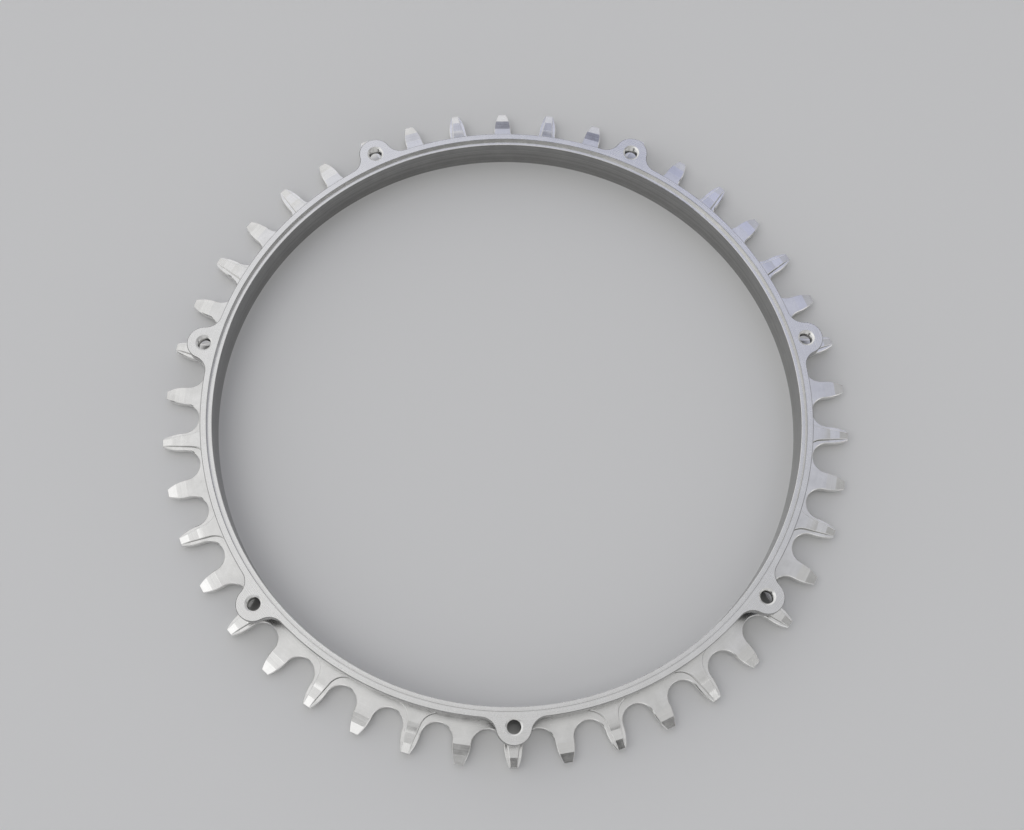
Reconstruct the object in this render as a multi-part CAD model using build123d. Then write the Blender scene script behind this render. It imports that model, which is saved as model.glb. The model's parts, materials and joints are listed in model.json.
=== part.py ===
from build123d import *
from math import acos, atan2, cos, degrees, pi, sin, sqrt
import os

# Chain and tooth layout: the lugs stand over every sixth tooth, and even teeth are the wide ones
chain_pitch = 12.7
lug_count = 7
teeth_per_lug = 6
tooth_count = lug_count * teeth_per_lug

# Tooth outline, the same for narrow and wide teeth, with stock past the tip to be milled off
roller_seat_radius = 4.05
flank_radius = 12.7
tip_above_pitch = 5.15
tip_stock = 1.0

# Tooth thickness across the chain
narrow_thickness = 2.1
wide_thickness = 3.8

# Front faces of the teeth, from the flat out to the tip: narrow teeth are bevelled once, wide ones ramp down
tip_bevel_length = 2.4
narrow_bevel_drop = 0.75
wide_ramp_length = 1.55
wide_ramp_drop = 0.25
wide_body_length = 2.5
wide_body_drop = 0.07
wide_bevel_drop = 0.48

# Front pads of the wide teeth, in plan: arcs round the roller seats, then sides that narrow to the tip
pad_relief_radius = 4.435
pad_relief_bite = 0.05
pad_tip_width = 1.75
pad_side_draft = 25

# Back pads of the wide teeth: plain blocks with straight sides, level with the back of the rim
back_pad_width = 4.5

# Rim section: gullet floor, upright wall, top land and the ledge inside it
gullet_floor = 1.92
land_width = 1.65
ledge_width = 1.15
ledge_depth = 1.1
rim_height = 11.1

# Lugs on top of the rim, each with a tapped hole
lug_reach = 2.0
lug_end_radius = 4.4
lug_blend_radius = 4.0
lug_thickness = 3.0
lug_hole_diameter = 3.3

# Places worked out from the sizes above
half_tooth = pi / tooth_count
tooth_angle = degrees(2 * half_tooth)
pitch_radius = chain_pitch / (2 * sin(half_tooth))
tip_radius = pitch_radius + tip_above_pitch
stock_radius = tip_radius + tip_stock
bevel_start = tip_radius - tip_bevel_length
root_radius = pitch_radius - roller_seat_radius
rim_radius = root_radius - gullet_floor
land_radius = rim_radius - land_width
bore_radius = land_radius - ledge_width
anchor_radius = rim_radius - land_width / 2
bolt_circle_radius = rim_radius + lug_reach
ledge_height = rim_height - ledge_depth
lug_underside = rim_height - lug_thickness
narrow_half = narrow_thickness / 2
wide_half = wide_thickness / 2
chain_height = wide_half
first_tooth_turn = -90


def on_ray(radius, angle):
    return Vector(radius * cos(angle), radius * sin(angle))


def mirrored(point):
    return Vector(point.X, -point.Y)


def arc_between(center, radius, start, finish):
    # Arc round a centre, taking the short way from start to finish
    bulge = (start + finish - center * 2).normalized() * radius
    return ThreePointArc(start, center + bulge, finish)


def face_across_tooth(upper_side):
    # Closes one side of a tooth or pad outline with its mirror image and an arc inside the rim
    root = on_ray(anchor_radius, half_tooth)
    foot = upper_side[0] @ 0
    tip = upper_side[-1] @ 1
    outline = [ThreePointArc(root, Vector(anchor_radius, 0), mirrored(root))]
    outline += [Line(mirrored(root), mirrored(foot))]
    outline += [mirror(edge, Plane.XZ) for edge in upper_side]
    outline += [Line(mirrored(tip), tip)]
    outline += upper_side
    outline += [Line(foot, root)]
    return make_face(outline)


def tooth_outline():
    # One tooth along X, from the middle of one gullet to the middle of the next
    seat_center = on_ray(pitch_radius, half_tooth)
    gullet_bottom = on_ray(root_radius, half_tooth)
    waist = seat_center - Vector(0, roller_seat_radius)
    flank_center = waist - Vector(0, flank_radius)
    flank_rise = tip_radius - flank_center.X
    tip_corner = flank_center + Vector(flank_rise, sqrt(flank_radius**2 - flank_rise**2))
    seat = arc_between(seat_center, roller_seat_radius, gullet_bottom, waist)
    flank = arc_between(flank_center, flank_radius, waist, tip_corner)
    stock = Line(tip_corner, tip_corner + Vector(tip_stock, 0))
    return face_across_tooth([seat, flank, stock])


def front_pad():
    # Drafted pad on the front of a wide tooth: round each roller seat, then straight past the tip
    relief_center = on_ray(rim_radius + pad_relief_radius - pad_relief_bite, half_tooth)
    relief_start = on_ray(rim_radius - pad_relief_bite, half_tooth)
    tip_corner = Vector(tip_radius, pad_tip_width / 2)
    to_tip = tip_corner - relief_center
    swing = acos(pad_relief_radius / to_tip.length)
    side_turn = atan2(to_tip.Y, to_tip.X) - swing
    side_start = relief_center + on_ray(pad_relief_radius, side_turn)
    along_side = (tip_corner - side_start).normalized()
    relief = arc_between(relief_center, pad_relief_radius, relief_start, side_start)
    side = Line(side_start, tip_corner + along_side * tip_stock)
    outline = face_across_tooth([relief, side])
    return extrude(Pos(0, 0, narrow_half) * outline, wide_half - narrow_half, taper=pad_side_draft)


def back_pad():
    # Block on the back of a wide tooth, narrowing from the rim to the tip
    outline = Polygon(
        (anchor_radius, -back_pad_width / 2),
        (stock_radius, -pad_tip_width / 2),
        (stock_radius, pad_tip_width / 2),
        (anchor_radius, back_pad_width / 2),
        align=None,
    )
    return extrude(Pos(0, 0, -wide_half) * outline, wide_half - narrow_half)


def milled_slab(front, half_thickness):
    # Runs a tooth's section straight across it: the given front, and a flat back with its own tip bevel
    tip_height = front[-1][1]
    back = [
        (tip_radius, -tip_height),
        (bevel_start, -half_thickness),
        (anchor_radius / 2, -half_thickness),
    ]
    section = Plane.XZ * Polygon(*front, *back, align=None)
    return extrude(section, chain_pitch, both=True)


def narrow_tooth():
    front = [
        (anchor_radius / 2, narrow_half),
        (bevel_start, narrow_half),
        (tip_radius, narrow_half - narrow_bevel_drop),
    ]
    blank = extrude(tooth_outline(), narrow_half, both=True)
    return blank & milled_slab(front, narrow_half)


def wide_tooth():
    body_start = bevel_start - wide_body_length
    body_height = wide_half - wide_ramp_drop
    bevel_height = body_height - wide_body_drop
    front = [
        (anchor_radius / 2, wide_half),
        (body_start - wide_ramp_length, wide_half),
        (body_start, body_height),
        (bevel_start, bevel_height),
        (tip_radius, bevel_height - wide_bevel_drop),
    ]
    blank = extrude(tooth_outline(), narrow_half, both=True) + front_pad() + back_pad()
    return blank & milled_slab(front, wide_half)


def rim():
    # Turned rim: bore, ledge, top land and the upright outer wall
    section = Polygon(
        (bore_radius, 0),
        (rim_radius, 0),
        (rim_radius, rim_height),
        (land_radius, rim_height),
        (land_radius, ledge_height),
        (bore_radius, ledge_height),
        align=None,
    )
    return revolve(Plane.XZ * section, Axis.Z)


def lug():
    # One lug along X: a round end about its hole, blended into the rim on both sides
    blend_to_axis = rim_radius + lug_blend_radius
    blend_to_hole = lug_end_radius + lug_blend_radius
    along = (blend_to_axis**2 - blend_to_hole**2 + bolt_circle_radius**2) / (2 * bolt_circle_radius)
    blend_center = Vector(along, sqrt(blend_to_axis**2 - along**2))
    hole_center = Vector(bolt_circle_radius, 0)
    on_rim = blend_center * (rim_radius / blend_to_axis)
    on_end = hole_center + (blend_center - hole_center) * (lug_end_radius / blend_to_hole)
    inside = blend_center * (anchor_radius / blend_to_axis)
    blend = arc_between(blend_center, lug_blend_radius, on_rim, on_end)
    end = ThreePointArc(on_end, Vector(bolt_circle_radius + lug_end_radius, 0), mirrored(on_end))
    outline = [Line(inside, on_rim), blend, end, mirror(blend, Plane.XZ)]
    outline += [Line(mirrored(on_rim), mirrored(inside))]
    outline += [ThreePointArc(mirrored(inside), Vector(anchor_radius, 0), inside)]
    return extrude(Pos(0, 0, lug_underside) * make_face(outline), lug_thickness)


def lug_hole():
    # Hole of tapping size through a lug
    return Pos(bolt_circle_radius, 0, rim_height) * Cylinder(lug_hole_diameter / 2, 2 * lug_thickness)


def around(piece, count, turn):
    # Copies of a piece round the axis, the first one at the front
    return [Rot(0, 0, first_tooth_turn + turn * index) * piece for index in range(count)]


def chainring():
    wide_count = (tooth_count + 1) // 2
    narrow_count = tooth_count // 2
    wide_place = Pos(0, 0, chain_height)
    narrow_place = Pos(0, 0, chain_height) * Rot(0, 0, tooth_angle)
    wide_teeth = around(wide_place * wide_tooth(), wide_count, 2 * tooth_angle)
    narrow_teeth = around(narrow_place * narrow_tooth(), narrow_count, 2 * tooth_angle)
    lugs = around(lug(), lug_count, 360 / lug_count)
    holes = around(lug_hole(), lug_count, 360 / lug_count)
    return rim() + wide_teeth + narrow_teeth + lugs - holes


os.makedirs("parts", exist_ok=True)
export_step(chainring(), "parts/chainring.step")
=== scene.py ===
import json
import bmesh
import bpy
from math import acos, atan2, cos, pi, radians, sin, sqrt, tan
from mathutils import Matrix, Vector

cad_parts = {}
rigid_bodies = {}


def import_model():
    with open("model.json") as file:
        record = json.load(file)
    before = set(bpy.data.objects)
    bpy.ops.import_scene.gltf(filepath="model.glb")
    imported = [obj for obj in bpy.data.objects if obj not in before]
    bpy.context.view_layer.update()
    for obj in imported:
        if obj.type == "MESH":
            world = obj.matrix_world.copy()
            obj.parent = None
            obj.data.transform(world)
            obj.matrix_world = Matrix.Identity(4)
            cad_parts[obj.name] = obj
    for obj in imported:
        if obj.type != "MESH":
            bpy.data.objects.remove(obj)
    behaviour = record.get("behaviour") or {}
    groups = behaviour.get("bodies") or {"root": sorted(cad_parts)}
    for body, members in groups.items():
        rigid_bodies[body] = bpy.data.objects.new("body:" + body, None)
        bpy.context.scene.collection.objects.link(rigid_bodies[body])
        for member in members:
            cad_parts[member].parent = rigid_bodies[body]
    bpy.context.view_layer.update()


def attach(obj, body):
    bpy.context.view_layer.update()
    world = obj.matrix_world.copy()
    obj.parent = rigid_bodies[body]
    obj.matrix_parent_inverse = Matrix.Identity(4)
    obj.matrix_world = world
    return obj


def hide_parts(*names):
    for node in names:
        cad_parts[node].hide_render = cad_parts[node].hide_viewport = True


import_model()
scene = bpy.context.scene
scene.view_settings.view_transform = "Standard"
mm = 0.001  # the ring's sizes below are in millimetres, Blender's are in metres

# what every piece of the ring is set out from
ringLayout = {
    "chainPitch": 12.7,
    "toothCount": 42,
    "lugCount": 7,
    "rimWall": 79.0025,
    "firstTurn": -90.0,  # degrees, to the wide tooth and the lug at the front
    "pointDigits": 5,  # decimals in which two points agree to become one vertex
    "weldGap": 0.002,
}
lugCount = ringLayout["lugCount"]
rimWall = ringLayout["rimWall"]
halfTooth = pi / ringLayout["toothCount"]
pitchRadius = ringLayout["chainPitch"] / (2 * sin(halfTooth))
print("frame loaded, pitch radius", round(pitchRadius, 3), "mm")


# small helpers

def unitAt(angle):
    return Vector((cos(angle), sin(angle)))


def mixed(low, high, share):
    return low + (high - low) * share


def addNode(tree, kind, feeds=None, values=None, **settings):
    # a node with its settings, and with its links and plain values by the name or number of the socket
    node = tree.nodes.new(kind)
    for name, value in settings.items():
        setattr(node, name, value)
    for socket, value in (values or {}).items():
        node.inputs[socket].default_value = value
    for socket, source in (feeds or {}).items():
        tree.links.new(source, node.inputs[socket])
    return node


# finishes

finishLook = {
    "turned": {"tones": (0.78, 0.87), "rough": (0.22, 0.32), "lines": 2200, "bump": 0.04, "cloud": 0.6},
    "milled": {"tones": (0.74, 0.88), "rough": (0.15, 0.27), "lines": 2600, "bump": 0.06, "cloud": 0.8},
    # taper is smoother than milled, and lighter in tone, in part as a painted highlight on the tooth fronts
    "taper": {"tones": (0.81, 0.91), "rough": (0.13, 0.22), "lines": 2600, "bump": 0.05, "cloud": 0.7},
    # flank and edge are lighter copies of the same aluminium: painted highlight on the tooth flanks, pad edge
    # breaks, edge breaks and hole mouths
    "flank": {"tones": (0.86, 0.95), "rough": (0.34, 0.44), "lines": 3000, "bump": 0.06, "cloud": 0.6},
    "edge": {"tones": (0.84, 0.93), "rough": (0.14, 0.22), "lines": 2600, "bump": 0.03, "cloud": 0.6},
    # shade is painted shade: a thin dark line on the edge breaks round the land, where shadow and dark
    # reflections fall
    "shade": {"tones": (0.26, 0.34), "rough": (0.30, 0.40), "lines": 2600, "bump": 0.03, "cloud": 0.6},
    # wall, bore and step are darker copies of the same aluminium: painted shade on the upright faces, the pad
    # sides and the bore
    "wall": {"tones": (0.44, 0.56), "rough": (0.18, 0.28), "lines": 3000, "bump": 0.08, "cloud": 0.4},
    "bore": {"tones": (0.27, 0.40), "rough": (0.15, 0.24), "lines": 1100, "bump": 0.10, "cloud": 0.35},
    "step": {"tones": (0.60, 0.70), "rough": (0.32, 0.42), "lines": 4200, "bump": 0.08, "cloud": 0.4},
    "thread": {"tones": (0.62, 0.80), "rough": (0.10, 0.18), "lines": 3000, "bump": 0.05, "cloud": 0.6},
}
finishNames = list(finishLook)
finishTint = (1.0, 0.995, 0.982)
uprightFinishes = ("wall", "bore", "step")  # their tool lines lie one above the other, the others' side by side
grainLook = {  # the same in every finish
    "lineDetail": 2.0,
    "cloudScale": 260.0,
    "cloudDetail": 5.0,
    "cloudRough": 0.62,
    "roughSpan": (0.3, 0.7),  # stretch of the noise that runs through the range of roughness
    "toneSpan": (0.34, 0.66),  # and through the range of tones
    "bumpDepth": 0.02,
}
lugShadeLook = {  # painted shade in the pocket under each lug: each pair goes from where the painted shade fades out to where it shows in full
    "round": (0.17, 0.045),  # in shares of the way from one lug to the next
    "inside": (78.2, 78.9),
    "outside": (85.5, 81.0),
    "low": (2.4, 3.6),
    "high": (8.8, 8.2),
    "tone": 0.4,
    "rough": 0.15,
}


def lugShadeShare(tree, split, reach):
    # 1 in the pocket under each lug, where painted shade darkens the metal, fading to 0 round it
    # the turn round the axis is counted in lugs and folded to the way to the nearest lug
    turn = addNode(tree, "ShaderNodeMath", {0: split["Y"], 1: split["X"]}, operation="ARCTAN2")
    inLugs = {1: lugCount / (2 * pi), 2: -ringLayout["firstTurn"] / 360 * lugCount}
    count = addNode(tree, "ShaderNodeMath", {0: turn.outputs["Value"]}, inLugs, operation="MULTIPLY_ADD")
    away = addNode(tree, "ShaderNodeMath", {0: count.outputs["Value"]}, {1: 0.5}, operation="PINGPONG")
    share = None
    for source, limits, unit in (
        (away.outputs["Value"], "round", 1),
        (reach, "inside", mm),
        (reach, "outside", mm),
        (split["Z"], "low", mm),
        (split["Z"], "high", mm),
    ):
        feeds = {"Value": source} if share is None else {"Value": source, "To Max": share}
        span = {"From Min": lugShadeLook[limits][0] * unit, "From Max": lugShadeLook[limits][1] * unit}
        fade = addNode(tree, "ShaderNodeMapRange", feeds, span, interpolation_type="SMOOTHSTEP")
        share = fade.outputs["Result"]
    return share


def makeFinish(name, look):
    # machined aluminium: its tool lines follow from the distance to the ring's axis, or from the height
    material = bpy.data.materials.new(name + "Aluminium")
    material.use_nodes = True
    tree = material.node_tree
    shader = tree.nodes["Principled BSDF"]
    shader.inputs["Metallic"].default_value = 1.0
    spot = addNode(tree, "ShaderNodeTexCoord").outputs["Object"]
    split = addNode(tree, "ShaderNodeSeparateXYZ", {"Vector": spot}).outputs
    flat = addNode(tree, "ShaderNodeCombineXYZ", {"X": split["X"], "Y": split["Y"]}).outputs["Vector"]
    reach = addNode(tree, "ShaderNodeVectorMath", {0: flat}, operation="LENGTH").outputs["Value"]
    along = split["Z"] if name in uprightFinishes else reach
    lineValues = {"Scale": look["lines"], "Detail": grainLook["lineDetail"]}
    lineNoise = addNode(tree, "ShaderNodeTexNoise", {"W": along}, lineValues, noise_dimensions="1D")
    lines = lineNoise.outputs["Fac"]  # fine lines left by the tool
    cloudNoise = addNode(tree, "ShaderNodeTexNoise", {"Vector": spot}, {
        "Scale": grainLook["cloudScale"],
        "Detail": grainLook["cloudDetail"],
        "Roughness": grainLook["cloudRough"],
    })
    cloud = cloudNoise.outputs["Fac"]  # slow change over the surface
    mix = addNode(tree, "ShaderNodeMix", {"A": lines, "B": cloud}, {"Factor": look["cloud"]}, data_type="FLOAT")
    grain = mix.outputs["Result"]
    rough = addNode(tree, "ShaderNodeMapRange", {"Value": grain}, {
        "From Min": grainLook["roughSpan"][0],
        "From Max": grainLook["roughSpan"][1],
        "To Min": look["rough"][0],
        "To Max": look["rough"][1],
    })
    tone = addNode(tree, "ShaderNodeValToRGB", {"Fac": grain})
    for stop, place, grey in zip(tone.color_ramp.elements, grainLook["toneSpan"], look["tones"]):
        stop.position = place
        stop.color = [grey * part for part in finishTint] + [1]
    # painted shade under the lugs: the colour is darkened there, and the metal is made rougher as well
    lugShade = lugShadeShare(tree, split, reach)
    keep = addNode(tree, "ShaderNodeMapRange", {"Value": lugShade}, {"To Min": 1.0, "To Max": lugShadeLook["tone"]})
    toned = {0: tone.outputs["Color"], "Scale": keep.outputs["Result"]}
    paintedShadeColour = addNode(tree, "ShaderNodeVectorMath", toned, operation="SCALE")
    roughened = {0: lugShade, 2: rough.outputs["Result"]}
    coarse = addNode(tree, "ShaderNodeMath", roughened, {1: lugShadeLook["rough"]}, operation="MULTIPLY_ADD")
    bumpValues = {"Strength": look["bump"], "Distance": grainLook["bumpDepth"] * mm}
    bump = addNode(tree, "ShaderNodeBump", {"Height": lines}, bumpValues)
    tree.links.new(paintedShadeColour.outputs["Vector"], shader.inputs["Base Color"])
    tree.links.new(coarse.outputs["Value"], shader.inputs["Roughness"])
    tree.links.new(bump.outputs["Normal"], shader.inputs["Normal"])
    return material


finishes = {name: makeFinish(name, look) for name, look in finishLook.items()}
print("finishes made:", ", ".join(finishNames))


# mesh and tree helpers

def startMesh():
    # a mesh under construction: points at the same place become one vertex
    bm = bmesh.new()
    return {"bm": bm, "seen": {}, "finish": bm.faces.layers.int.new("finish")}


def vertexAt(work, point):
    key = tuple(round(value, ringLayout["pointDigits"]) for value in point)
    if key not in work["seen"]:
        work["seen"][key] = work["bm"].verts.new([value * mm for value in point])
    return work["seen"][key]


def addFace(work, points, finish):
    # a face of its own points, unless too few of them differ or it is there already
    corners = []
    for point in points:
        corner = vertexAt(work, point)
        if corner not in corners:
            corners.append(corner)
    if len(corners) > 2 and work["bm"].faces.get(corners) is None:
        face = work["bm"].faces.new(corners)
        face[work["finish"]] = finishNames.index(finish)


def addRows(work, rows, columnFinishes):
    # quads between neighbouring rows, with one finish for each pair of columns, or none where it stays open
    for row, following in zip(rows, rows[1:]):
        for column, finish in enumerate(columnFinishes):
            if finish:
                addFace(work, (row[column], row[column + 1], following[column + 1], following[column]), finish)


def endMesh(work, name):
    mesh = bpy.data.meshes.new(name)
    work["bm"].to_mesh(mesh)
    work["bm"].free()
    piece = bpy.data.objects.new(name, mesh)
    scene.collection.objects.link(piece)
    return piece


def newTree(name, inputs):
    # a geometry tree, the sockets of its inputs by name, and the socket of its result
    tree = bpy.data.node_groups.new(name, "GeometryNodeTree")
    tree.interface.new_socket("Geometry", in_out="INPUT", socket_type="NodeSocketGeometry")
    for label, kind in inputs.items():
        tree.interface.new_socket(label, in_out="INPUT", socket_type=kind)
    tree.interface.new_socket("Geometry", in_out="OUTPUT", socket_type="NodeSocketGeometry")
    given = addNode(tree, "NodeGroupInput").outputs
    result = addNode(tree, "NodeGroupOutput").inputs["Geometry"]
    return tree, given, result


def setFinishes(tree, geometry):
    # one Set Material node for each finish, picked by the face attribute
    picked = addNode(tree, "GeometryNodeInputNamedAttribute", values={"Name": "finish"}, data_type="INT")
    for index, name in enumerate(finishNames):
        same = addNode(tree, "FunctionNodeCompare", data_type="INT", operation="EQUAL")
        for socket in same.inputs:
            if socket.identifier == "A_INT":
                tree.links.new(picked.outputs["Attribute"], socket)
            if socket.identifier == "B_INT":
                socket.default_value = index
        chosen = {"Geometry": geometry, "Selection": same.outputs["Result"]}
        paint = addNode(tree, "GeometryNodeSetMaterial", chosen, {"Material": finishes[name]})
        geometry = paint.outputs["Geometry"]
    return geometry


def roundTree():
    # copies of one sector, turned round the ring's axis and welded where they meet
    tree, given, result = newTree("sectorRound", {
        "Sector Count": "NodeSocketInt",
        "First Turn": "NodeSocketFloat",
        "Weld Gap": "NodeSocketFloat",
    })
    points = addNode(tree, "GeometryNodePoints", {"Count": given["Sector Count"]})
    index = addNode(tree, "GeometryNodeInputIndex")
    share = addNode(tree, "ShaderNodeMath", {1: given["Sector Count"]}, {0: 2 * pi}, operation="DIVIDE")
    turns = {0: index.outputs["Index"], 1: share.outputs["Value"], 2: given["First Turn"]}
    turn = addNode(tree, "ShaderNodeMath", turns, operation="MULTIPLY_ADD")
    axis = addNode(tree, "ShaderNodeCombineXYZ", {"Z": turn.outputs["Value"]})
    rotation = addNode(tree, "FunctionNodeEulerToRotation", {"Euler": axis.outputs["Vector"]})
    copies = addNode(tree, "GeometryNodeInstanceOnPoints", {
        "Points": points.outputs["Points"],
        "Instance": given["Geometry"],
        "Rotation": rotation.outputs["Rotation"],
    })
    real = addNode(tree, "GeometryNodeRealizeInstances", {"Geometry": copies.outputs["Instances"]})
    loose = {"Geometry": real.outputs["Geometry"], "Distance": given["Weld Gap"]}
    weld = addNode(tree, "GeometryNodeMergeByDistance", loose)
    tree.links.new(setFinishes(tree, weld.outputs["Geometry"]), result)
    return tree


def settle(piece, tree, values):
    # runs a tree on a piece and keeps the result as a plain mesh
    modifier = piece.modifiers.new(tree.name, "NODES")
    modifier.node_group = tree
    for item in tree.interface.items_tree:
        if item.in_out == "INPUT" and item.name in values:
            modifier[item.identifier] = values[item.name]
    graph = bpy.context.evaluated_depsgraph_get()
    mesh = bpy.data.meshes.new_from_object(piece.evaluated_get(graph))
    piece.modifiers.remove(modifier)
    old = piece.data
    piece.data = mesh
    bpy.data.meshes.remove(old)
    mesh.name = piece.name


sectorRound = roundTree()
firstTurn = radians(ringLayout["firstTurn"])
roundValues = {"Sector Count": lugCount, "First Turn": firstTurn, "Weld Gap": ringLayout["weldGap"] * mm}


# teeth

toothShape = {
    "seatRadius": 4.05,
    "flankRadius": 12.7,
    "tipAbovePitch": 5.15,
    "plate": (0.85, 2.95),  # back and front of the narrow teeth
    "padTop": 3.8,  # front of the wide teeth
    "rampLength": 2.8,  # the front of a wide tooth has a ramp, a body and a bevel
    "rampDrop": 0.25,
    "rampSteps": 8,
    "bodyLength": 2.5,
    "bevelLength": 2.4,
    "wideEnd": {"bevel": 3.48, "tip": 3.0, "backTip": 0.8},  # heights where the bevel starts and at the tip
    "narrowEnd": {"taper": 2.936, "bevel": 2.75, "tip": 2.2, "backTip": 1.6},
    "reliefRadius": 4.435,  # pad outline round the roller seats
    "reliefBite": 0.05,  # of that outline into the rim
    "padTipWidth": 1.75,
    "padDraft": 12,  # degrees
    "backPadWidth": (4.5, 1.75),  # at the rim and a little past the tip
    "backPadPast": 1,
    "backPadBite": 0.07,  # into the rim
    "backPadLift": 0.004,  # at its end inside the rim
    "frontBreak": 0.17,
    "backBreak": 0.12,
    "padBreak": 0.12,
    "taperBreak": 0.12,
    "tipBreak": 0.1,
    "columnGap": 0.1,  # between columns where nothing stands out
    "backGap": 0.06,
    "seatSteps": 18,
    "rowsBeforeBody": (1.55, 1.05, 0.7, 0.35),
    "rowsBeforeBevel": (1.7, 0.8),
    "rowsPastBevel": (0.8, 1.6),
}
plateBack, plateFront = toothShape["plate"]
tipRadius = pitchRadius + toothShape["tipAbovePitch"]
bevelStart = tipRadius - toothShape["bevelLength"]
bodyStart = bevelStart - toothShape["bodyLength"]

# heights of the teeth by the distance to the axis
wideEnd, narrowEnd = toothShape["wideEnd"], toothShape["narrowEnd"]
wideFront = [(0, toothShape["padTop"])]
for step in range(toothShape["rampSteps"] + 1):  # eases down off the flat
    share = step / toothShape["rampSteps"]
    rampX = bodyStart - toothShape["rampLength"] * (1 - share)
    wideFront.append((rampX, toothShape["padTop"] - toothShape["rampDrop"] * share ** 2))
wideFront += [(bevelStart, wideEnd["bevel"]), (tipRadius, wideEnd["tip"])]
wideBack = [(0, 0.0), (bevelStart, 0.0), (tipRadius, wideEnd["backTip"])]
narrowFront = [
    (0, plateFront),
    (bodyStart, plateFront),
    (bodyStart + toothShape["taperBreak"], narrowEnd["taper"]),
    (bevelStart, narrowEnd["bevel"]),
    (tipRadius, narrowEnd["tip"]),
]
narrowBack = [(0, plateBack), (bevelStart, plateBack), (tipRadius, narrowEnd["backTip"])]

# rows along the flank, from the end of the roller seat to the tip
flankPlaces = [bodyStart - before for before in toothShape["rowsBeforeBody"]]
flankPlaces += [bodyStart, bodyStart + toothShape["taperBreak"]]
flankPlaces += [bevelStart - before for before in toothShape["rowsBeforeBevel"]]
flankPlaces += [bevelStart] + [bevelStart + past for past in toothShape["rowsPastBevel"]]
flankPlaces += [tipRadius - toothShape["tipBreak"], tipRadius]

# outlines of the seat, the flank, the front pad and the back pad
gulletWay = unitAt(halfTooth)
seatCentre = gulletWay * pitchRadius
seatEnd = pi + acos((seatCentre.x - flankPlaces[0]) / toothShape["seatRadius"])
flankMiddle = seatCentre.y - toothShape["seatRadius"] - toothShape["flankRadius"]
reliefCentre = gulletWay * (rimWall + toothShape["reliefRadius"] - toothShape["reliefBite"])
toTip = Vector((tipRadius, toothShape["padTipWidth"] / 2)) - reliefCentre
sideTurn = atan2(toTip.y, toTip.x) - acos(toothShape["reliefRadius"] / toTip.length) + 2 * pi
sideStart = reliefCentre + unitAt(sideTurn) * toothShape["reliefRadius"]
sideSlope = (toothShape["padTipWidth"] / 2 - sideStart.y) / (tipRadius - sideStart.x)
draft = tan(radians(toothShape["padDraft"]))
backWide, backSlim = toothShape["backPadWidth"]
backSlope = (backSlim - backWide) / 2 / (tipRadius + toothShape["backPadPast"] - rimWall)


def heightAt(profile, x):
    for (x0, z0), (x1, z1) in zip(profile, profile[1:]):
        if x <= x1:
            return z0 + (z1 - z0) * (x - x0) / (x1 - x0)
    return profile[-1][1]


def seatRow(step, wide):
    # across the tooth round its roller seat: the first row is the middle of the gullet, where no pad stands
    shape = toothShape
    steps = shape["seatSteps"]
    raised = wide and step > 0
    seatWay = unitAt(mixed(pi + halfTooth, seatEnd, step / steps))
    edge = seatCentre + seatWay * shape["seatRadius"]
    frontLip = seatCentre + seatWay * (shape["seatRadius"] + shape["frontBreak"])
    backLip = seatCentre + seatWay * (shape["seatRadius"] + shape["backBreak"])
    padWay = unitAt(mixed(pi + halfTooth, sideTurn, step / (steps - 1)))
    foot = reliefCentre + padWay * shape["reliefRadius"]
    rise = (shape["padTop"] - plateFront) * draft if raised else shape["columnGap"]
    side = foot + padWay * (rise - shape["padBreak"] * draft if raised else rise)
    crown = foot + padWay * (rise + shape["columnGap"])
    top = heightAt(wideFront, crown.x) if raised else plateFront
    sideTop = top - shape["padBreak"] if raised else top
    if step == 0:
        backFoot = foot
        backSide = foot - gulletWay * shape["columnGap"]
        backCrown = foot - gulletWay * (2 * shape["columnGap"])
    else:
        padX = mixed(rimWall - shape["backPadBite"], flankPlaces[0], (step - 1) / (steps - 1))
        padY = backWide / 2 + backSlope * (padX - rimWall)
        backFoot = Vector((padX, padY))
        backSide = Vector((padX, padY if wide else padY - shape["backGap"]))
        backCrown = Vector((padX, padY - shape["backBreak"]))
    bottom = sideBottom = plateBack
    if raised:
        bottom = shape["backPadLift"] if step == 1 else 0.0
        sideBottom = bottom + shape["backBreak"]
    return [
        (crown.x, 0, top),
        (crown.x, crown.y, top),
        (side.x, side.y, sideTop),
        (foot.x, foot.y, plateFront),
        (frontLip.x, frontLip.y, plateFront),
        (edge.x, edge.y, plateFront - shape["frontBreak"]),
        (edge.x, edge.y, plateBack + shape["backBreak"]),
        (backLip.x, backLip.y, plateBack),
        (backFoot.x, backFoot.y, plateBack),
        (backSide.x, backSide.y, sideBottom),
        (backCrown.x, backCrown.y, bottom),
        (backCrown.x, 0, bottom),
    ]


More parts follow.
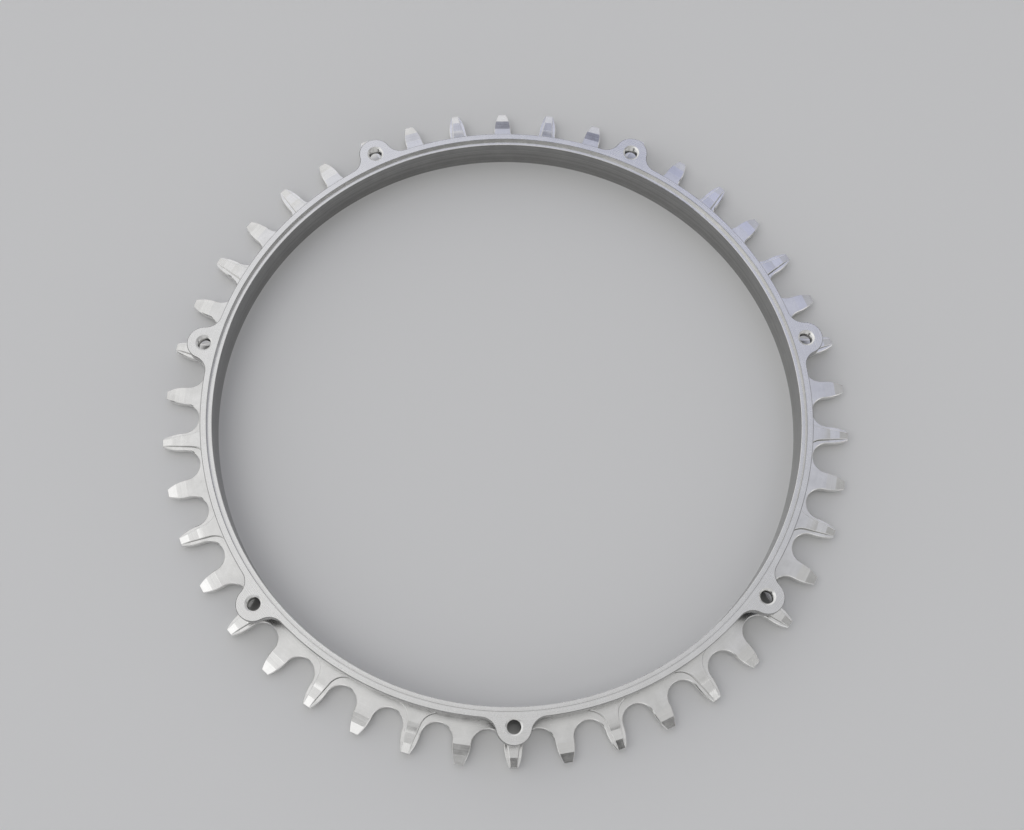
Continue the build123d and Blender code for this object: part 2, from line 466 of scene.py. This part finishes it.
def flankRow(x, wide):
    # across the tooth at a distance from the axis
    shape = toothShape
    tight = shape["tipBreak"] if x == tipRadius else 0  # the end of the tip is drawn in
    if x < seatCentre.x:
        edgeY = seatCentre.y - sqrt(shape["seatRadius"] ** 2 - (seatCentre.x - x) ** 2) - tight
    else:
        edgeY = flankMiddle + sqrt(shape["flankRadius"] ** 2 - (x - seatCentre.x) ** 2) - tight
    footY = sideStart.y + sideSlope * (x - sideStart.x)
    padY = backWide / 2 + backSlope * (x - rimWall)
    if wide:
        top, bottom = heightAt(wideFront, x) - tight, heightAt(wideBack, x) + tight
        lipTop, lipBottom = plateFront - tight, plateBack + tight
        padBreak = min(shape["padBreak"], (top - lipTop) / 2)
        backBreak = min(shape["backBreak"], (lipBottom - bottom) / 2)
        crownY = footY - (top - lipTop) * draft - padBreak
        sideY = footY - (top - lipTop) * draft + padBreak * draft
        backSideY = padY
    else:
        lipTop, lipBottom = heightAt(narrowFront, x), heightAt(narrowBack, x)
        top, bottom = lipTop - tight, lipBottom + tight
        padBreak = backBreak = 0
        sideY = footY - shape["columnGap"]
        crownY = sideY - shape["columnGap"]
        backSideY = padY - shape["backGap"]
    return [
        (x, 0, top),
        (x, crownY, top),
        (x, sideY, top - padBreak),
        (x, footY, lipTop),
        (x, edgeY - shape["frontBreak"], lipTop),
        (x, edgeY, lipTop - shape["frontBreak"]),
        (x, edgeY, lipBottom + shape["backBreak"]),
        (x, edgeY - shape["backBreak"], lipBottom),
        (x, padY, lipBottom),
        (x, backSideY, bottom + backBreak),
        (x, padY - shape["backBreak"], bottom),
        (x, 0, bottom),
    ]


def turned(point, angle):
    x, y, z = point
    return (x * cos(angle) - y * sin(angle), x * sin(angle) + y * cos(angle), z)


# finishes between the columns of a row, from the front spine over the flank to the back spine
acrossNarrow = ["milled"] * 4 + ["edge", "flank", "edge"] + ["milled"] * 4
acrossWide = ["milled", "flank", "wall", "milled", "edge", "flank", "edge", "milled", "flank", "edge", "milled"]
frontColumns = 4  # those on the front, from the body to the bevel, where the smoother taper finish is lighter as a painted highlight in part


def addTooth(work, wide, angle):
    # rows go from the middle of a gullet to the tip, on one side of the tooth and then on the other
    rows = [seatRow(step, wide) for step in range(toothShape["seatSteps"])]
    rows += [flankRow(x, wide) for x in flankPlaces]
    across = acrossWide if wide else acrossNarrow
    tapered = ["taper" if finish == "milled" else finish for finish in across[:frontColumns]]
    tapered += across[frontColumns:]
    taperFrom = toothShape["seatSteps"] + flankPlaces.index(bodyStart)
    taperTo = toothShape["seatSteps"] + flankPlaces.index(bevelStart)
    for side in (1, -1):
        placed = [[turned((x, side * y, z), angle) for x, y, z in row] for row in rows]
        addRows(work, placed[:taperFrom + 1], across)
        addRows(work, placed[taperFrom:taperTo + 1], tapered)
        addRows(work, placed[taperTo:], across)
        addFace(work, placed[-1], "wall")  # end of the tip
        addFace(work, placed[0][:2] + placed[0][-2:], "wall")  # hidden end inside the rim


work = startMesh()
for index in range(ringLayout["toothCount"] // lugCount):
    addTooth(work, index % 2 == 0, 2 * halfTooth * index)
toothRing = endMesh(work, "toothRing")
settle(toothRing, sectorRound, roundValues)
print("teeth:", len(toothRing.data.polygons), "faces")


# rim and lugs

rimShape = {
    "land": 77.3525,
    "bore": 76.2025,
    "height": 11.1,
    "ledge": 10.0,
    "lugUnderside": 8.1,
    "boltCircle": 81.0025,
    "lugEnd": 4.4,
    "lugBlend": 4.0,
    "edgeBreak": 0.16,
    "ledgeBreak": 0.09,
    "flush": 1e-4,  # an outline nearer to the rim's wall than this lies on it
    "rimSteps": 46,
    "blendSteps": 12,
    "endSteps": 36,
}
holeShape = {
    "mouth": 2.18,
    "crest": 1.74,
    "thread": 1.98,
    "exit": 1.7,
    "mouthDepth": 0.3,
    "crestDepth": 0.1,
    "exitDepth": 0.25,
    "steps": 64,
}

# finishes between the columns of the rim's section, in the order of rimColumns
rimFinishes = [
    "edge", "bore", "edge", "turned", "step", "shade", "turned",
    "shade", "wall", "edge", "wall", "wall", "edge",
]
topColumn, underColumn = 6, 10  # the top land, and the underside of the lug


def lugStations():
    # outline of one lug along X, with the way into the metal at each point
    shape = rimShape
    toAxis = rimWall + shape["lugBlend"]
    toHole = shape["lugEnd"] + shape["lugBlend"]
    along = (toAxis ** 2 - toHole ** 2 + shape["boltCircle"] ** 2) / (2 * shape["boltCircle"])
    blendCentre = Vector((along, sqrt(toAxis ** 2 - along ** 2)))
    holeCentre = Vector((shape["boltCircle"], 0))
    rimTurn = atan2(blendCentre.y, blendCentre.x)
    endTurn = atan2(blendCentre.y, blendCentre.x - holeCentre.x)
    upper = []
    for step in range(shape["blendSteps"]):
        way = unitAt(mixed(pi + rimTurn, pi + endTurn, step / shape["blendSteps"]))
        upper.append((blendCentre + way * shape["lugBlend"], way))
    halfEnd = shape["endSteps"] // 2
    for step in range(halfEnd):
        way = unitAt(mixed(endTurn, 0, step / halfEnd))
        upper.append((holeCentre + way * shape["lugEnd"], -way))
    tip = (holeCentre + Vector((shape["lugEnd"], 0)), Vector((-1, 0)))
    lower = [(Vector((spot.x, -spot.y)), Vector((way.x, -way.y))) for spot, way in reversed(upper)]
    return rimTurn, upper + [tip] + lower


def rimColumns(angle, spot, way):
    # section from the bore over the top to the outside, then under the lug and down the wall
    shape = rimShape
    small, fine = shape["edgeBreak"], shape["ledgeBreak"]
    outward = unitAt(angle)
    foot = outward * rimWall
    gap = max(spot.length - rimWall, 0)
    under = min(small, gap / 2)
    inset, insetUnder = spot + way * small, spot + way * under
    if gap < shape["flush"]:
        spot = insetUnder = foot
        inset = outward * (rimWall - small)

    def at(radius, z):
        return (outward.x * radius, outward.y * radius, z)

    return [
        at(shape["bore"] + small, 0),
        at(shape["bore"], small),
        at(shape["bore"], shape["ledge"] - fine),
        at(shape["bore"] + fine, shape["ledge"]),
        at(shape["land"], shape["ledge"]),
        at(shape["land"], shape["height"] - fine),
        at(shape["land"] + fine, shape["height"]),
        (inset.x, inset.y, shape["height"]),
        (spot.x, spot.y, shape["height"] - small),
        (spot.x, spot.y, shape["lugUnderside"] + under),
        (insetUnder.x, insetUnder.y, shape["lugUnderside"]),
        (foot.x, foot.y, shape["lugUnderside"]),
        (foot.x, foot.y, small),
        at(rimWall - small, 0),
    ]


def circle(radius, z):
    # points round the hole of the lug
    turns = [2 * pi * n / holeShape["steps"] for n in range(holeShape["steps"])]
    return [(rimShape["boltCircle"] + radius * cos(turn), radius * sin(turn), z) for turn in turns]


def fillBetween(work, loops, finish):
    # flat face with a hole, from closed loops of points
    edges = []
    for loop in loops:
        corners = []
        for point in loop:
            corner = vertexAt(work, point)
            if not corners or corner is not corners[-1]:
                corners.append(corner)
        if corners[0] is corners[-1]:
            corners.pop()
        for pair in zip(corners, corners[1:] + corners[:1]):
            edges.append(work["bm"].edges.get(pair) or work["bm"].edges.new(pair))
    made = bmesh.ops.triangle_fill(work["bm"], use_beauty=True, edges=edges)
    for face in made["geom"]:
        if isinstance(face, bmesh.types.BMFace):
            face[work["finish"]] = finishNames.index(finish)


def addHole(work, lug):
    # countersunk mouth, wall and exit of the hole, and the flats of the lug round it
    height, underside = rimShape["height"], rimShape["lugUnderside"]
    crestHeight = height - holeShape["mouthDepth"]
    rings = [
        circle(holeShape["mouth"], height),
        circle(holeShape["crest"], crestHeight),
        circle(holeShape["thread"], crestHeight - holeShape["crestDepth"]),
        circle(holeShape["thread"], underside + holeShape["exitDepth"]),
        circle(holeShape["exit"], underside),
    ]
    for upper, lower, finish in zip(rings, rings[1:], ("flank", "thread", "thread", "wall")):
        for n in range(holeShape["steps"]):
            after = (n + 1) % holeShape["steps"]
            addFace(work, (upper[n], upper[after], lower[after], lower[n]), finish)
    topLoop = [row[topColumn + 1] for row in lug] + [row[topColumn] for row in reversed(lug)]
    fillBetween(work, [topLoop, rings[0]], "turned")
    underLoop = [row[underColumn] for row in lug] + [row[underColumn + 1] for row in reversed(lug)]
    fillBetween(work, [underLoop, rings[-1]], "wall")


def addRimSector(work):
    # bare rim, the lug in the middle, and bare rim again
    rimTurn, lugSpots = lugStations()
    halfSector, halfSteps = pi / lugCount, rimShape["rimSteps"] // 2
    bare = []
    for step in range(halfSteps + 1):
        angle = mixed(halfSector, rimTurn, step / halfSteps)
        bare.append(rimColumns(angle, unitAt(angle) * rimWall, -unitAt(angle)))
    mirrored = [[(x, -y, z) for x, y, z in row] for row in reversed(bare)]
    lug = []
    for step, (spot, way) in enumerate(lugSpots):
        angle = mixed(rimTurn, -rimTurn, step / (len(lugSpots) - 1))
        lug.append(rimColumns(angle, spot, way))
    lug[0], lug[-1] = bare[-1], mirrored[0]
    addRows(work, bare, rimFinishes)
    addRows(work, mirrored, rimFinishes)
    holed = list(rimFinishes)
    holed[topColumn] = holed[underColumn] = None
    addRows(work, lug, holed)
    rows = bare + lug[1:] + mirrored[1:]
    for row, following in zip(rows, rows[1:]):
        addFace(work, (row[-1], row[0], following[0], following[-1]), "milled")  # back of the rim
    addHole(work, lug)


work = startMesh()
addRimSector(work)
rimAndLugs = endMesh(work, "rimAndLugs")
settle(rimAndLugs, sectorRound, roundValues)
print("rim and lugs:", len(rimAndLugs.data.polygons), "faces")


# threads in the lug holes

threadShape = {
    "pitch": 0.7,
    "rootRadius": 2.0,
    "ridge": 0.33,  # from the middle of the ridge to its crest
    "ridgeSides": 4,
    "low": 8.25,
    "high": 10.6,
    "steps": 40,  # points in each turn
}


def threadTree():
    # a ridge along a spiral, copied to every lug and turned round the ring's axis
    tree, given, result = newTree("lugThread", {
        "Lug Count": "NodeSocketInt",
        "First Turn": "NodeSocketFloat",
        "Bolt Circle": "NodeSocketFloat",
        "Root Radius": "NodeSocketFloat",
        "Ridge": "NodeSocketFloat",
        "Low": "NodeSocketFloat",
        "Height": "NodeSocketFloat",
        "Turns": "NodeSocketFloat",
        "Steps": "NodeSocketInt",
    })
    spiral = addNode(tree, "GeometryNodeCurveSpiral", {
        "Resolution": given["Steps"],
        "Rotations": given["Turns"],
        "Start Radius": given["Root Radius"],
        "End Radius": given["Root Radius"],
        "Height": given["Height"],
    })
    upright = addNode(tree, "GeometryNodeSetCurveNormal", {"Curve": spiral.outputs["Curve"]}, mode="Z_UP")
    sides = {"Resolution": threadShape["ridgeSides"]}
    ridge = addNode(tree, "GeometryNodeCurvePrimitiveCircle", {"Radius": given["Ridge"]}, sides)
    curves = {"Curve": upright.outputs["Curve"], "Profile Curve": ridge.outputs["Curve"]}
    sweep = addNode(tree, "GeometryNodeCurveToMesh", curves, {"Fill Caps": True})
    spot = addNode(tree, "ShaderNodeCombineXYZ", {"X": given["Bolt Circle"], "Z": given["Low"]})
    moved = {"Geometry": sweep.outputs["Mesh"], "Translation": spot.outputs["Vector"]}
    place = addNode(tree, "GeometryNodeTransform", moved)
    rounds = addNode(tree, "GeometryNodeGroup", node_tree=sectorRound)
    tree.links.new(place.outputs["Geometry"], rounds.inputs["Geometry"])
    tree.links.new(given["Lug Count"], rounds.inputs["Sector Count"])
    tree.links.new(given["First Turn"], rounds.inputs["First Turn"])
    metal = {"Material": finishes["thread"]}
    paint = addNode(tree, "GeometryNodeSetMaterial", {"Geometry": rounds.outputs["Geometry"]}, metal)
    tree.links.new(paint.outputs["Geometry"], result)
    return tree


lugThreads = endMesh(startMesh(), "lugThreads")
threadHeight = threadShape["high"] - threadShape["low"]
settle(lugThreads, threadTree(), {
    "Lug Count": lugCount,
    "First Turn": firstTurn,
    "Bolt Circle": rimShape["boltCircle"] * mm,
    "Root Radius": threadShape["rootRadius"] * mm,
    "Ridge": threadShape["ridge"] * mm,
    "Low": threadShape["low"] * mm,
    "Height": threadHeight * mm,
    "Turns": threadHeight / threadShape["pitch"],
    "Steps": threadShape["steps"],
})
print("threads:", len(lugThreads.data.polygons), "faces")


# one body

shadeLook = {  # sharpest turn, in degrees, that is still shaded as one surface
    "flats": 2,
    "curves": 20,
}
flatFinishes = [finishNames.index(name) for name in ("milled", "taper")]


def shadeMachined(piece):
    # smooth round curves, with a crisp line wherever one milled flat meets another
    bm = bmesh.new()
    bm.from_mesh(piece.data)
    bmesh.ops.recalc_face_normals(bm, faces=bm.faces)
    finish = bm.faces.layers.int.get("finish") or bm.faces.layers.int.new("finish")
    for face in bm.faces:
        face.smooth = True
    for edge in bm.edges:
        betweenFlats = all(face[finish] in flatFinishes for face in edge.link_faces)
        limit = shadeLook["flats"] if betweenFlats else shadeLook["curves"]
        edge.smooth = edge.calc_face_angle(pi) < radians(limit)
    bm.to_mesh(piece.data)
    bm.free()


chainringBody = rimAndLugs
parts = [rimAndLugs, toothRing, lugThreads]
for piece in parts:
    shadeMachined(piece)
joined = {"active_object": chainringBody, "object": chainringBody, "selected_editable_objects": parts}
with bpy.context.temp_override(**joined):
    bpy.ops.object.join()
chainringBody.name = chainringBody.data.name = "chainringBody"
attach(chainringBody, "root")
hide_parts("chainring")
print("body:", len(chainringBody.data.polygons), "faces")


# floor, light and camera

floorLook = {
    "colour": (0.80, 0.80, 0.80, 1),
    "rough": 0.8,
    "reach": 6.0,  # metres each way
    "drop": 0.03,  # millimetres below the ring
}
roomLook = {  # soft light by the direction it comes from, multiplied together
    "room": {  # grows to the left, and again low on the right
        "axis": (-0.97, 0.243, 0.0),
        "stops": (
            (-0.95, 0.90), (-0.80, 0.62), (-0.60, 0.42), (-0.25, 0.57), (0.0, 0.68),
            (0.06, 0.74), (0.11, 0.84), (0.18, 0.86), (0.35, 0.81), (0.6, 0.80), (0.95, 0.86),
        ),
    },
    "near": {  # a dim band on the near side
        "axis": (0.30, -0.95, 0.0),
        "stops": ((0.24, 1.0), (0.29, 0.08), (0.42, 0.14), (0.54, 0.6), (0.7, 0.9), (0.85, 1.2)),
    },
    "above": {  # a small dim patch
        "axis": (-0.079, -0.099, 0.992),
        "stops": ((0.9914, 1.0), (0.9981, 0.05)),
    },
    "far": {  # another, beyond the ring
        "axis": (0.069, 0.637, 0.768),
        "stops": ((0.984, 1.0), (0.996, 0.25)),
    },
    "cool": {  # bluish on the far right
        "axis": (0.24, 0.56, 0.79),
        "stops": ((0.90, 1.0), (0.96, 0.92, 0.945, 1.10), (1.0, 0.85, 0.89, 1.18)),
    },
}
lampLook = {  # in metres, degrees and watts, facing down
    "key": {"spot": (-1.048, -0.504, 1.5), "size": (1.3, 1.725), "turn": 41.3, "power": 2.9},
    "side": {"spot": (0.72, -0.418, 1.5), "size": (0.44, 0.2), "turn": 0, "power": 0.35},
}
cameraLook = {  # in millimetres and degrees
    "spot": (-8.646, -107.672, 336.866),
    "turn": (17.8934, -1.3494, -1.0344),
    "lens": 46.7896,
    "sensor": 36.0,
    "clipStart": 10,
}

floorMesh = bpy.data.meshes.new("floor")
reach = floorLook["reach"]
corners = [(x * reach, y * reach, 0) for x, y in ((-1, -1), (1, -1), (1, 1), (-1, 1))]
floorMesh.from_pydata(corners, [], [(0, 1, 2, 3)])
floorPlane = bpy.data.objects.new("floor", floorMesh)
floorPlane.location.z = -floorLook["drop"] * mm
scene.collection.objects.link(floorPlane)
floorMaterial = bpy.data.materials.new("paleFloor")
floorMaterial.use_nodes = True
floorShader = floorMaterial.node_tree.nodes["Principled BSDF"]
floorShader.inputs["Base Color"].default_value = floorLook["colour"]
floorShader.inputs["Roughness"].default_value = floorLook["rough"]
floorMesh.materials.append(floorMaterial)


def lightToward(tree, direction, axis, stops):
    # light that changes with the cosine of the angle to an axis: each stop has a grey or three colour parts
    toward = addNode(tree, "ShaderNodeVectorMath", {0: direction}, {1: axis}, operation="DOT_PRODUCT")
    cosines = {"From Min": -1.0, "From Max": 1.0}
    share = addNode(tree, "ShaderNodeMapRange", {"Value": toward.outputs["Value"]}, cosines)
    ramp = addNode(tree, "ShaderNodeValToRGB", {"Fac": share.outputs["Result"]})
    elements = ramp.color_ramp.elements
    elements.remove(elements[1])
    for index, (cosine, *colour) in enumerate(stops):
        place = (cosine + 1) / 2
        stop = elements.new(place) if index else elements[0]
        stop.position = place
        stop.color = (colour * 3)[:3] + [1]
    return ramp.outputs["Color"]


world = bpy.data.worlds.new("studio")
world.use_nodes = True
worldTree = world.node_tree
direction = addNode(worldTree, "ShaderNodeTexCoord").outputs["Generated"]
light = None
for look in roomLook.values():
    part = lightToward(worldTree, direction, **look)
    if light is None:
        light = part
    else:
        product = addNode(worldTree, "ShaderNodeVectorMath", {0: light, 1: part}, operation="MULTIPLY")
        light = product.outputs["Vector"]
worldTree.links.new(light, worldTree.nodes["Background"].inputs["Color"])
scene.world = world

for name, look in lampLook.items():
    lamp = bpy.data.lights.new(name + "Lamp", "AREA")
    lamp.shape = "RECTANGLE"
    lamp.size, lamp.size_y = look["size"]
    lamp.energy = look["power"]
    holder = bpy.data.objects.new(name + "Lamp", lamp)
    holder.location = look["spot"]
    holder.rotation_euler.z = radians(look["turn"])
    scene.collection.objects.link(holder)

camera = bpy.data.cameras.new("camera")
camera.lens = cameraLook["lens"]
camera.sensor_width = cameraLook["sensor"]
camera.clip_start = cameraLook["clipStart"] * mm
holder = bpy.data.objects.new("camera", camera)
holder.location = [value * mm for value in cameraLook["spot"]]
holder.rotation_euler = [radians(value) for value in cameraLook["turn"]]
scene.collection.objects.link(holder)
scene.camera = holder
print("floor, lamps and camera set")

bpy.context.view_layer.update()
